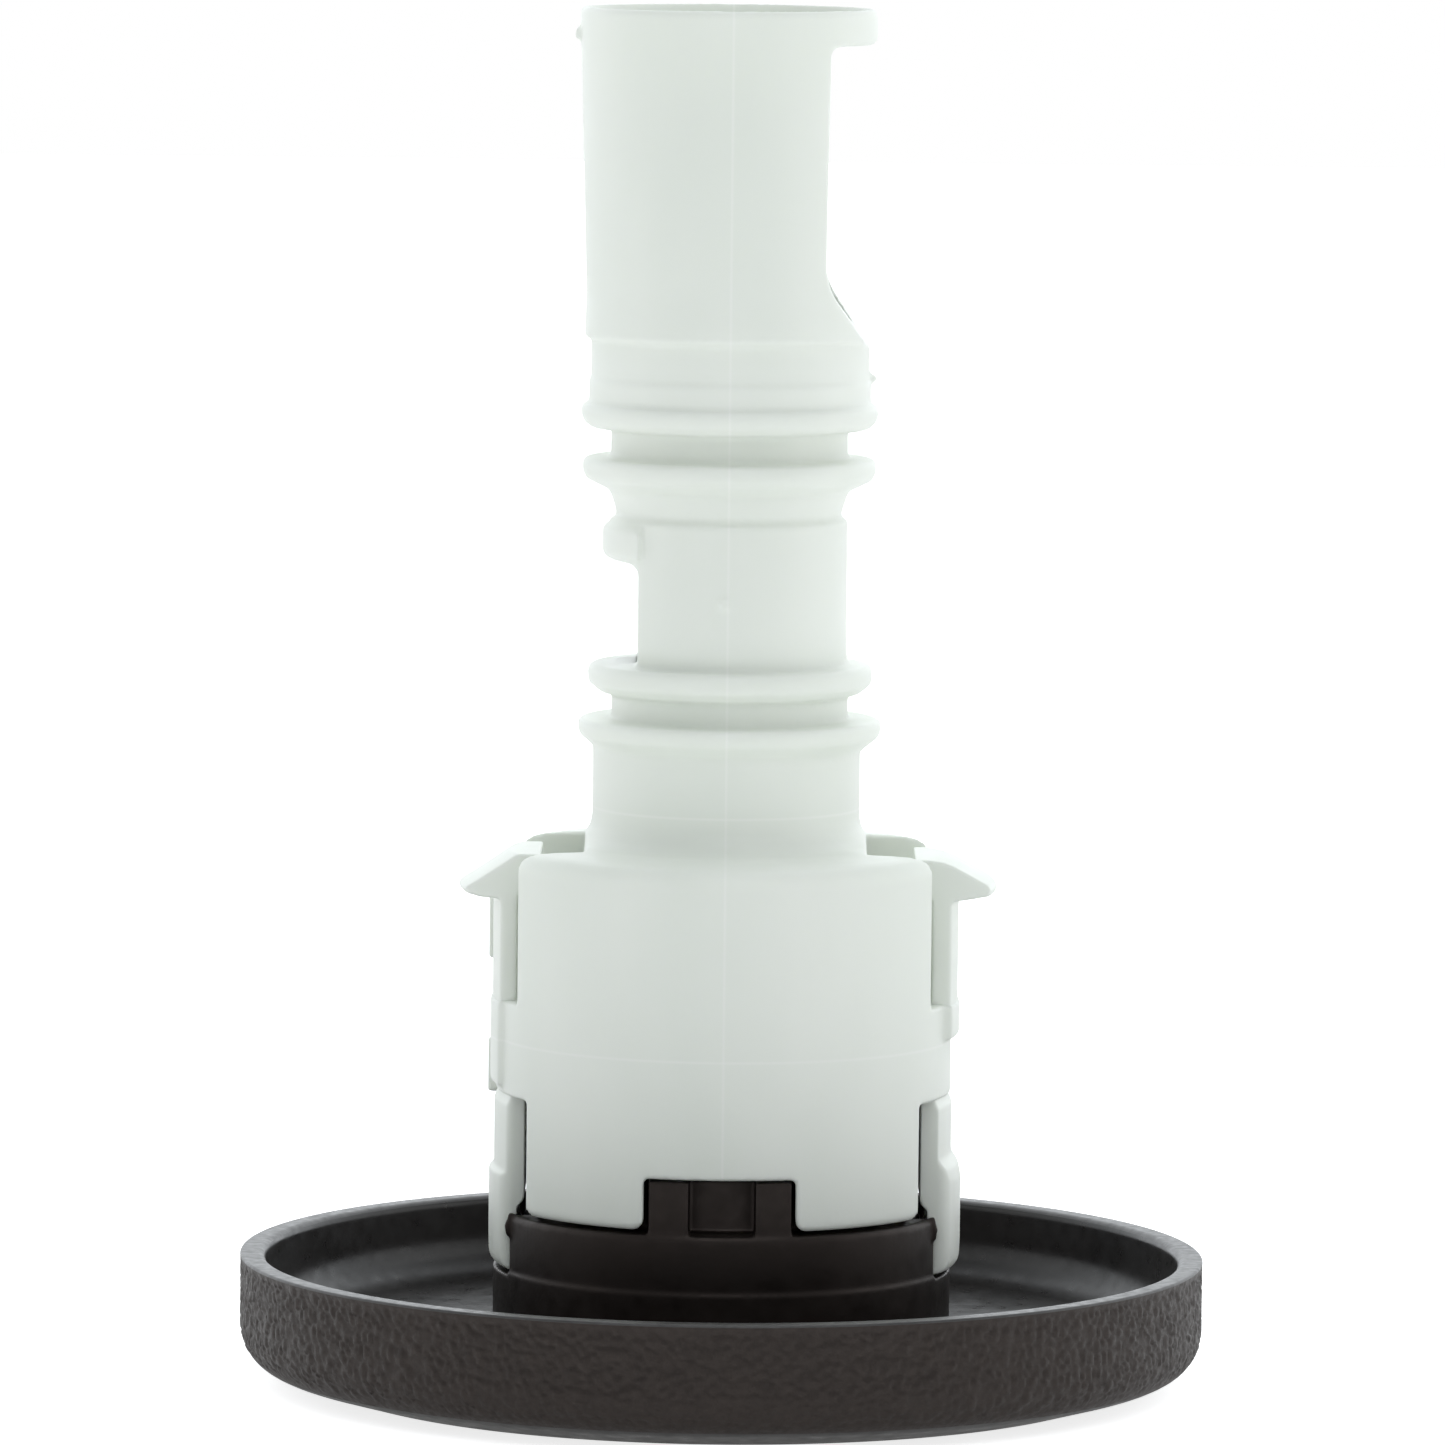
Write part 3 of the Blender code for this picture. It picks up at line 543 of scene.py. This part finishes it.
def knob_hub(material):
    """The collar: base flange, two ledges, and the spigot with its drive ribs and catches."""
    shelf, ledge, plate = 12.1 * MM, 18.25 * MM, 11.3 * MM
    base_in, base_top = PLINTH_R + 0.3 * MM, 8.3 * MM
    spigot_r, spigot_in, flat_x = 20.1 * MM, 17.5 * MM, 19.0 * MM
    ledge_half = 8.6 * MM
    foot = lowest("knob_hub").z
    ledge_r = HUB_R - 0.12 * MM
    hub = turned("collar", softened([
        (0, base_top), (base_in, base_top), (base_in, foot), (HUB_R, foot),
        (HUB_R, shelf + 0.2 * MM, 0.1 * MM), (ledge_r, shelf + 0.2 * MM), (ledge_r, ledge, 0.5 * MM),
        (spigot_r, ledge, 0.4 * MM), (spigot_r, SPIGOT_TOP, 0.3 * MM), (spigot_in, SPIGOT_TOP, 0.4 * MM),
        (spigot_in, plate), (0, plate)]))
    cutters = [block(f"flat_{side}", (side * flat_x, -ledge_half, shelf),
                     (side * HUB_R * 1.1, ledge_half, SPIGOT_TOP * 1.2)) for side in (-1, 1)]
    combine(hub, "DIFFERENCE", *cutters)
    crest_x, low, crest, lead, top = 20.5 * MM, 13.1 * MM, 16.1 * MM, 16.6 * MM, 18.6 * MM
    embed = flat_x - 0.8 * MM
    tooth = [(embed, low), (flat_x, low), (crest_x, crest), (crest_x, lead), (flat_x, top), (embed, top)]
    added = [slab(f"catch_{side}", [(side * x, z) for x, z in tooth], 6.0 * MM) for side in (-1, 1)]
    rib_r = 23.1 * MM
    for face in (-1, 1):
        for start, end in ((-7.4 * MM, -3.4 * MM), (3.4 * MM, 7.0 * MM)):
            rib = block(f"rib_{face}_{start}", (start, face * spigot_in, ledge - 2 * MM),
                        (end, face * rib_r, SPIGOT_TOP))
            bound = turned("rib_bound", [(spigot_in + MM, 0), (rib_r, 0), (rib_r, SPIGOT_TOP * 2),
                                         (spigot_in + MM, SPIGOT_TOP * 2)])
            added.append(combine(rib, "INTERSECT", bound))
    added += ledge_flash(ledge, ledge_r, ledge_half)
    combine(hub, "UNION", *added)
    finish_piece(moulded(hub, 0.2 * MM, 3), material, "knob", "black_plastic", "knob_hub")


def ledge_flash(ledge, ledge_r, ledge_half):
    """Ragged slivers left on the ends of both ledges, beside the clip arms."""
    slivers = []
    for side, width in ((-1, 0.45 * MM), (1, 0.3 * MM)):
        edge = side * math.sqrt(ledge_r ** 2 - ledge_half ** 2)
        low = ledge - 2.6 * MM
        outline = [(edge - side * MM, low), (edge + side * width * 0.5, low + 0.5 * MM),
                   (edge + side * width, ledge - MM), (edge + side * width * 0.3, ledge - 0.4 * MM),
                   (edge, ledge + 0.3 * MM), (edge - side * MM, ledge)]
        sliver = slab(f"sliver_{side}", outline, 0.35 * MM)
        sliver.data.transform(Matrix.Translation((0, -ledge_half - 0.4 * MM, 0)))
        slivers.append(sliver)
    return slivers


# ---------------------------------------------------------------- stem

def outer_wall():
    """The stem's outside from the bell's mouth up to the top of the tube, as corners with radii."""
    top_4, top_3, top_2, top_1 = FLANGE_TOPS
    collar, step = 89.1 * MM, 107.5 * MM
    corners = [
        (BELL_R, MOUTH_Z, 0.6 * MM), (BELL_R, SHOULDER_Z, 3.6 * MM),
        (20.0 * MM, SHOULDER_Z + 0.4 * MM, MM), (NECK_R, SHOULDER_Z + 0.7 * MM, 2.9 * MM),
        (NECK_R, top_4 - 3.0 * MM, 0.3 * MM), (15.3 * MM, top_4 - 1.7 * MM, 0.4 * MM),
        (15.5 * MM, top_4 - 1.1 * MM, 0.3 * MM), (15.5 * MM, top_4, 0.4 * MM), (GROOVE_R, top_4, 0.3 * MM),
        (GROOVE_R, top_3 - 3.15 * MM, 0.2 * MM), (13.3 * MM, top_3 - 2.9 * MM, 0.6 * MM),
        (14.45 * MM, top_3 - 2.0 * MM, 0.5 * MM), (14.55 * MM, top_3 - 1.4 * MM),
        (14.55 * MM, top_3, 0.9 * MM), (TUBE_R - 0.15 * MM, top_3, 0.3 * MM),
        (TUBE_R, top_3 + 2.0 * MM), (TUBE_R, collar, 0.3 * MM), (11.45 * MM, collar + 0.1 * MM, 0.2 * MM),
        (11.6 * MM, 90.1 * MM), (12.0 * MM, 91.3 * MM, MM), (12.3 * MM, 92.05 * MM, 0.4 * MM),
        (14.6 * MM, top_2 - 2.2 * MM, 0.5 * MM), (15.0 * MM, top_2 - 1.4 * MM, 0.4 * MM),
        (15.0 * MM, top_2, 0.6 * MM), (GROOVE_R, top_2, 0.3 * MM), (GROOVE_R, top_1 - 2.5 * MM, 0.3 * MM),
        (14.2 * MM, top_1 - 2.45 * MM, 0.4 * MM), (15.0 * MM, top_1 - 1.7 * MM, 0.5 * MM),
        (15.2 * MM, top_1 - 0.95 * MM, 0.3 * MM), (15.1 * MM, top_1, 0.45 * MM), (14.4 * MM, top_1, 0.2 * MM),
        (14.4 * MM, 103.3 * MM), (14.2 * MM, 103.5 * MM), (14.2 * MM, step, 0.2 * MM),
        (14.9 * MM, step + 0.1 * MM, 0.3 * MM), (14.75 * MM, step + 4.5 * MM),
        (14.75 * MM, STEM_TOP, 0.7 * MM)]
    return softened([(BORE_R, MOUTH_Z)] + corners + [(BORE_R, STEM_TOP)])[1:-1]


def stem_outline():
    """The outer wall, then the bore from the top down."""
    check_r, hole_r = 9.4 * MM, 7.4 * MM
    ledge_z, seat_z, web_z = 102.0 * MM, 88.6 * MM, 86.8 * MM
    bore = [(UPPER_BORE_R, STEM_TOP, 0.4 * MM), (UPPER_BORE_R, ledge_z), (check_r, ledge_z, 0.2 * MM),
            (check_r, seat_z), (hole_r, seat_z), (hole_r, web_z), (BORE_R, web_z),
            (BORE_R, BELL_CEILING), (BELL_IN_R, BELL_CEILING, MM), (BELL_IN_R, MOUTH_Z, 0.3 * MM)]
    return outer_wall() + softened(bore + [(BELL_R, MOUTH_Z)])[:-1]


def settle(stem):
    """The lower flanges sit a little to the right, and the tube's top flares out to the left."""
    shift, flare, flare_low = 0.27 * MM, 0.85 * MM, 127.0 * MM
    for vertex in stem.data.vertices:
        place = vertex.co
        if FLANGE_TOPS[0] - 3.0 * MM < place.z < FLANGE_TOPS[1] + 0.4 * MM:
            place.x += shift
        if place.z > flare_low and place.x < 0:
            rise = (place.z - flare_low) / (STEM_TOP - flare_low)
            place.x += flare * rise * place.x / place.xy.length


def inlet_lip():
    """The lip along the inlet's upper edge: the part of a ring beyond the port's plane."""
    low, high, radius, plane = 85.0 * MM, 88.6 * MM, 12.9 * MM, -9.17 * MM
    ring = turned("inlet_ring", softened([(BORE_R, low), (radius, low, 0.9 * MM), (radius, high, 0.7 * MM),
                                          (BORE_R, high)]))
    keep = block("keep", (plane, -radius, low - MM), (-radius * 1.2, radius, high + MM))
    return combine(ring, "INTERSECT", keep)


def outlet_cutter():
    """The large port: a flat cut that sweeps out to the tube's side at its foot."""
    foot, top, slope, reach = 113.4 * MM, 137.6 * MM, math.radians(35), 19.0 * MM
    plane_low, plane_high, lip_r = 9.58 * MM, 9.87 * MM, 14.75 * MM
    drop = (reach - plane_low) / math.tan(slope)
    outline = [(plane_high, top, 0.9 * MM), (plane_low, foot, 7.0 * MM), (reach, foot - drop),
               (reach, top + MM), (lip_r, top + 0.9 * MM), (lip_r - 0.3 * MM, top + 0.25 * MM),
               (lip_r - 0.9 * MM, top)]
    return slab("outlet_cutter", softened(outline, steps=8), reach)


def inlet_cutter():
    """The small port, with a rounded inner corner under its lip."""
    plane, low, top, reach = -9.17 * MM, FLANGE_TOPS[1] + 0.15 * MM, 84.8 * MM, -16.0 * MM
    outline = [(reach, low), (plane, low, 0.3 * MM), (plane, top, 1.1 * MM), (reach, top + 0.3 * MM)]
    return slab("inlet_cutter", softened(outline, steps=6), -reach)


def flared(start, end, top, corner):
    """Outline of a slot up from the mouth, whose lower corners are rounded off outwards."""
    outline = [(start - corner, MOUTH_Z - 2 * MM)]
    outline += arc((start - corner, MOUTH_Z + corner), corner, 270, 360)
    outline += [(start, top), (end, top)]
    outline += arc((end + corner, MOUTH_Z + corner), corner, 180, 270)
    return outline + [(end + corner, MOUTH_Z - 2 * MM)]


def bell_cutters():
    """Pockets for the latch arms, slots for the clip arms, and the notches for the drive ribs."""
    reach = BELL_R * 1.2
    pocket_half, pocket_x, slot_half = 9.8 * MM, 14.4 * MM, 11.8 * MM
    notch_top, corner = 23.9 * MM, 1.2 * MM
    cutters = []
    for side in (-1, 1):
        cutters.append(block(f"pocket_{side}", (side * pocket_x, -pocket_half, BAND_Z[1]),
                             (side * reach, pocket_half, SHOULDER_Z + 5 * MM)))
        slot = slab(f"slot_{side}", flared(-slot_half, slot_half, BAND_Z[0], corner), reach / 4)
        turn = Matrix.Rotation(math.pi / 2, 4, "Z")
        slot.data.transform(Matrix.Translation((side * reach * 0.77, 0, 0)) @ turn)
        cutters.append(slot)
        notch = slab(f"notch_{side}", flared(-7.9 * MM, 7.4 * MM, notch_top, corner), reach / 2)
        notch.data.transform(Matrix.Translation((0, side * reach * 0.95, 0)))
        cutters.append(notch)
    return cutters


def keys():
    """Small keys on the bell beside the left arms."""
    return [block(f"key_{low:.0f}", (-24.4 * MM, 10.4 * MM, low * MM), (-19.8 * MM, 12.6 * MM, high * MM))
            for low, high in ((28.4, 34.0), (42.3, 49.0))]


def arm_pads():
    """Raised pads on the band, in line with the latch arms above them."""
    pads = []
    for side, radius, low in ((-1, 23.95 * MM, 31.2 * MM), (1, 24.2 * MM, 36.4 * MM)):
        inner, half = BELL_R - MM, LATCH_HALF + 0.1 * MM
        pad = turned(f"pad_{side}", softened([(inner, low - 0.2 * MM), (radius, low, 0.4 * MM),
                                              (radius, BAND_Z[1], 0.2 * MM), (inner, BAND_Z[1])]))
        keep = block("keep", (0, -half, 0), (side * radius * 1.2, half, SHOULDER_Z))
        pads.append(combine(pad, "INTERSECT", keep))
    return pads


def flash():
    """Two slivers of moulding flash: at the top of the tube and on its lower ring line."""
    hook = [(-14.4 * MM, 137.0 * MM), (-15.2 * MM, 137.8 * MM), (-16.2 * MM, 138.0 * MM),
            (-16.0 * MM, 138.9 * MM), (-15.2 * MM, 139.6 * MM), (-14.4 * MM, 140.2 * MM)]
    top = slab("flash_top", hook, 0.7 * MM)
    side = slab("flash_side", [(14.0 * MM, 103.0 * MM), (15.1 * MM, 103.4 * MM), (15.0 * MM, 103.8 * MM),
                               (14.0 * MM, 104.1 * MM)], 0.5 * MM)
    return [top, side]


def gate_scar():
    """The button that the mould's gate left on the front of the tube."""
    radius, proud = 0.55 * MM, 0.18 * MM
    scar = turned("gate_scar", [(0, -MM), (radius, -MM), (radius, proud), (0, proud)], 32)
    place = Matrix.Translation((-0.3 * MM, -TUBE_R, 81.3 * MM))
    scar.data.transform(place @ Matrix.Rotation(math.pi / 2, 4, "X"))
    return scar


def valve_stem(material):
    stem = turned("ported_stem", stem_outline())
    combine(stem, "UNION", inlet_lip())
    settle(stem)
    combine(stem, "UNION", *flash(), *arm_pads())
    combine(stem, "DIFFERENCE", outlet_cutter(), inlet_cutter(), *bell_cutters())
    sill = block("inlet_sill", (-10.8 * MM, -4.2 * MM, 73.4 * MM), (-9.0 * MM, 4.2 * MM, 74.4 * MM))
    combine(stem, "UNION", sill, gate_scar(), *keys())
    moulded(stem, 0.28 * MM, 3)
    finish_piece(stem, material, "stem", "white_plastic", "valve_stem")


# ---------------------------------------------------------------- arms

def latch_arm(name, side, outer, barb, material):
    """Barbed tongue that grows out of the bell's band; barb is its outside from the root up."""
    inner, crown = 21.2 * MM, (18.8 if side < 0 else 19.4) * MM
    foot, top, reach = LATCH_ROOT - 1.8 * MM, barb[-1][1], 30 * MM
    tongue = softened([(22.0 * MM, foot), (reach, foot), (reach, top + MM), (crown, top + MM),
                       (crown, top - 1.8 * MM, 0.4 * MM), (inner, top - 4.2 * MM, 2 * MM),
                       (inner, LATCH_ROOT - 0.6 * MM), (22.0 * MM, LATCH_ROOT - 0.6 * MM)])
    arm = slab(f"barbed_arm_{name}", [(side * x, z) for x, z in tongue], LATCH_HALF)
    guide = turned("guide", softened([(MM, foot - MM), (outer, foot - MM)] + barb + [(MM, top)]))
    combine(arm, "INTERSECT", guide)
    moulded(arm, 0.18 * MM, 3)
    finish_piece(arm, material, None, "white_plastic", f"latch_arm_{name}")
    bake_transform(arm)


def rounded_plan(half, radius, corner, low, high):
    """An upright prism that rounds the two outer corners of an arm seen from above."""
    shoulder = math.sqrt(radius ** 2 - half ** 2)
    plan = softened([(radius * 0.7, -half), (shoulder, -half, corner), (radius + MM, 0),
                     (shoulder, half, corner), (radius * 0.7, half)], steps=8)
    bm = bmesh.new()
    face = bm.faces.new([bm.verts.new((x, y, low)) for x, y in plan])
    grown = bmesh.ops.extrude_face_region(bm, geom=[face])
    moved = [v for v in grown["geom"] if isinstance(v, bmesh.types.BMVert)]
    bmesh.ops.translate(bm, verts=moved, vec=(0, 0, high - low))
    return add_object("plan", bm)


def clip_arm(name, side, pad, material):
    """Tongue from the band down to the hub's shelf, hooked under the hub's catch."""
    inner, relief, hook_x, embed = 20.2 * MM, 20.95 * MM, 19.3 * MM, 1.4 * MM
    relief_top = 18.9 * MM
    ramp_low, ramp_high = CLIP_FOOT + 0.6 * MM, CLIP_FOOT + 3.9 * MM
    root = CLIP_ROOT + embed
    outer, band = 23.5 * MM, BELL_R - 0.25 * MM
    pad_r = pad[0][0]
    tongue = softened([(hook_x, CLIP_FOOT, 0.2 * MM), (30 * MM, CLIP_FOOT), (30 * MM, root),
                       (inner, root), (inner, relief_top + 0.8 * MM, 0.4 * MM),
                       (relief, relief_top, 0.4 * MM), (relief, ramp_high, 0.4 * MM),
                       (hook_x, ramp_low, 0.1 * MM)])
    arm = slab(f"snap_arm_{name}", [(x, z) for x, z in tongue], CLIP_HALF)
    guide = turned("guide", softened([(MM, CLIP_FOOT), (pad_r - 0.1 * MM, CLIP_FOOT, 1.3 * MM),
                                      (pad_r, CLIP_FOOT + 3 * MM)] + pad
                                     + [(outer, CLIP_ROOT - 0.6 * MM), (band, CLIP_ROOT + 0.3 * MM),
                                        (band, root), (MM, root)]))
    combine(arm, "INTERSECT", guide, rounded_plan(CLIP_HALF, pad_r, 1.4 * MM, 0, root + MM))
    if side < 0:
        arm.data.transform(Matrix.Rotation(math.pi, 4, "Z"))
    moulded(arm, 0.2 * MM, 3)
    finish_piece(arm, material, None, "white_plastic", f"clip_arm_{name}")
    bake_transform(arm)


def arms(material):
    """The left and right arms differ a little, as in the photo: the barbs' tips and the clip pads."""
    latch_arm("left", -1, 23.75 * MM, [
        (23.75 * MM, 50.4 * MM, 0.4 * MM), (25.8 * MM, 50.6 * MM), (27.1 * MM, 51.0 * MM, 0.2 * MM),
        (27.4 * MM, 51.5 * MM, 0.3 * MM), (26.2 * MM, 52.2 * MM, 0.5 * MM), (22.1 * MM, 55.0 * MM, 0.5 * MM)],
        material)
    latch_arm("right", 1, 24.0 * MM, [
        (24.0 * MM, 50.5 * MM, 0.4 * MM), (26.4 * MM, 50.9 * MM), (27.7 * MM, 51.15 * MM, 0.2 * MM),
        (27.9 * MM, 51.7 * MM, 0.3 * MM), (27.5 * MM, 52.3 * MM, 0.3 * MM), (24.1 * MM, 54.2 * MM, 0.8 * MM),
        (23.0 * MM, 54.6 * MM, 0.6 * MM), (21.6 * MM, 54.8 * MM)], material)
    clip_arm("left", -1, [(24.0 * MM, 22.3 * MM, 0.2 * MM), (23.5 * MM, 22.5 * MM, 0.1 * MM)], material)
    clip_arm("right", 1, [(24.5 * MM, 21.8 * MM, 1.0 * MM), (24.2 * MM, 23.2 * MM, MM),
                          (23.5 * MM, 24.2 * MM, MM)], material)


# ---------------------------------------------------------------- inside the stem and the hub

def plain_piece(node, outline, material, body, slot):
    """A turned inner piece with softened edges, in place of the CAD node."""
    piece = turned(f"{node}_fine", softened(outline), 96)
    finish_piece(piece, material, body, slot, node)


def check_valve(white, rubber):
    """Seat, poppet and seal, whose heights come from the frame."""
    edge = 0.2 * MM
    low, high, outer = lowest("seat_gasket").z, highest("seat_gasket").z, highest("seat_gasket").y
    plain_piece("seat_gasket", [(7.6 * MM, low, edge), (outer, low, edge), (outer, high, edge),
                                (7.6 * MM, high, edge)], rubber, "stem", "black_rubber")
    low, high = lowest("seat_ring").z, highest("seat_ring").z
    hole, flare = 7.0 * MM, 1.8 * MM
    plain_piece("seat_ring", [(hole, low, edge), (outer, low, edge), (outer, high, edge),
                              (hole + flare, high, edge), (hole, high - flare, edge)],
                white, "stem", "white_plastic")
    low, high = lowest("poppet_seal").z, highest("poppet_seal").z
    plain_piece("poppet_seal", [(3.3 * MM, low), (7.2 * MM, low, edge), (8.6 * MM, high, edge),
                                (3.3 * MM, high)], rubber, "check", "black_rubber")
    keeper, top = lowest("check_poppet").z, highest("check_poppet").z
    disc, disc_r, stem_r, nose_r = high + 0.3 * MM, highest("check_poppet").y, 1.5 * MM, 3.0 * MM
    plain_piece("check_poppet", [
        (0, keeper), (4.2 * MM, keeper, 0.4 * MM), (4.2 * MM, low - 0.3 * MM, edge),
        (nose_r, low - 0.3 * MM), (nose_r, disc), (disc_r, disc, 0.3 * MM),
        (disc_r, disc + 1.2 * MM, 0.3 * MM),
        (stem_r, disc + 1.2 * MM, 0.3 * MM), (stem_r, top, 0.4 * MM), (0, top)],
        white, "check", "white_plastic")


def guide_and_ring(white):
    """The three-spoked guide, and the split ring that keeps it in the bore."""
    low, high, outer = lowest("spring_guide").z, highest("spring_guide").z, highest("spring_guide").y
    inner, hub_r, hole_r, spoke_half = 10.4 * MM, 3.6 * MM, 1.8 * MM, 1.1 * MM
    guide = turned("guide_wheel", [(inner, low), (outer, low), (outer, high), (inner, high)], 96)
    added = [turned("guide_hub", [(0, low), (hub_r, low), (hub_r, high), (0, high)], 64)]
    for index in range(3):
        spoke = block(f"spoke_{index}", (0, -spoke_half, low + 0.3 * MM),
                      (inner + 0.8 * MM, spoke_half, high - 0.3 * MM))
        spoke.data.transform(Matrix.Rotation(index * 2 * math.pi / 3, 4, "Z"))
        added.append(spoke)
    combine(guide, "UNION", *added)
    hole = turned("guide_hole", [(0, low - MM), (hole_r, low - MM), (hole_r, high + MM), (0, high + MM)], 48)
    combine(guide, "DIFFERENCE", hole)
    finish_piece(moulded(guide, 0.15 * MM, 2), white, "stem", "white_plastic", "spring_guide")
    low, high = lowest("guide_snap_ring").z, highest("guide_snap_ring").z
    ring_in = inner + 0.2 * MM
    ring = turned("split_ring", [(ring_in, low), (outer, low), (outer, high), (ring_in, high)], 96)
    combine(ring, "DIFFERENCE", block("split", (-1.5 * MM, 0, low - MM), (1.5 * MM, outer * 1.1, high + MM)))
    finish_piece(moulded(ring, 0.12 * MM, 2), white, "stem", "white_plastic", "guide_snap_ring")


def plug_and_seal(white, rubber):
    low, top, flange_r = lowest("bore_plug").z, highest("bore_plug").z, highest("bore_plug").y
    shank_r, groove_r, flange_top = BORE_R - 0.3 * MM, 7.6 * MM, low + 1.6 * MM
    groove_low, groove_high = top - 5.1 * MM, top - 2.3 * MM
    edge = 0.2 * MM
    plain_piece("bore_plug", [
        (0, low), (flange_r, low, 0.4 * MM), (flange_r, flange_top, edge), (shank_r, flange_top),
        (shank_r, groove_low, edge), (groove_r, groove_low), (groove_r, groove_high),
        (shank_r, groove_high, edge), (shank_r, top, 0.6 * MM), (0, top)], white, "stem", "white_plastic")
    wire_r = (highest("plug_o_ring").z - lowest("plug_o_ring").z) / 2
    centre = (highest("plug_o_ring").y - wire_r, lowest("plug_o_ring").z + wire_r)
    plain_piece("plug_o_ring", arc(centre, wire_r * 0.98, 0, 360, 24)[:-1], rubber, "stem", "black_rubber")


def main():
    add_camera()
    add_studio()
    white, inside, hub = white_plastic(), dish_plastic(), hub_plastic()
    rubber, metal = black_rubber(), steel()
    looks = {"white_plastic": white, "black_plastic": hub, "black_gloss_plastic": inside,
             "black_rubber": rubber, "stainless_steel": metal}
    for part in frame["record"]["subparts"]:
        obj = frame["nodes"][part["node"]]
        obj.data.materials.clear()
        obj.data.materials.append(looks[part["material_slot"]])
    knob_dish(inside, grain_plastic(), rim_painted_highlight())
    face_insert(inside)
    knob_hub(hub)
    valve_stem(white)
    arms(white)
    check_valve(white, rubber)
    guide_and_ring(white)
    plug_and_seal(white, rubber)


main()
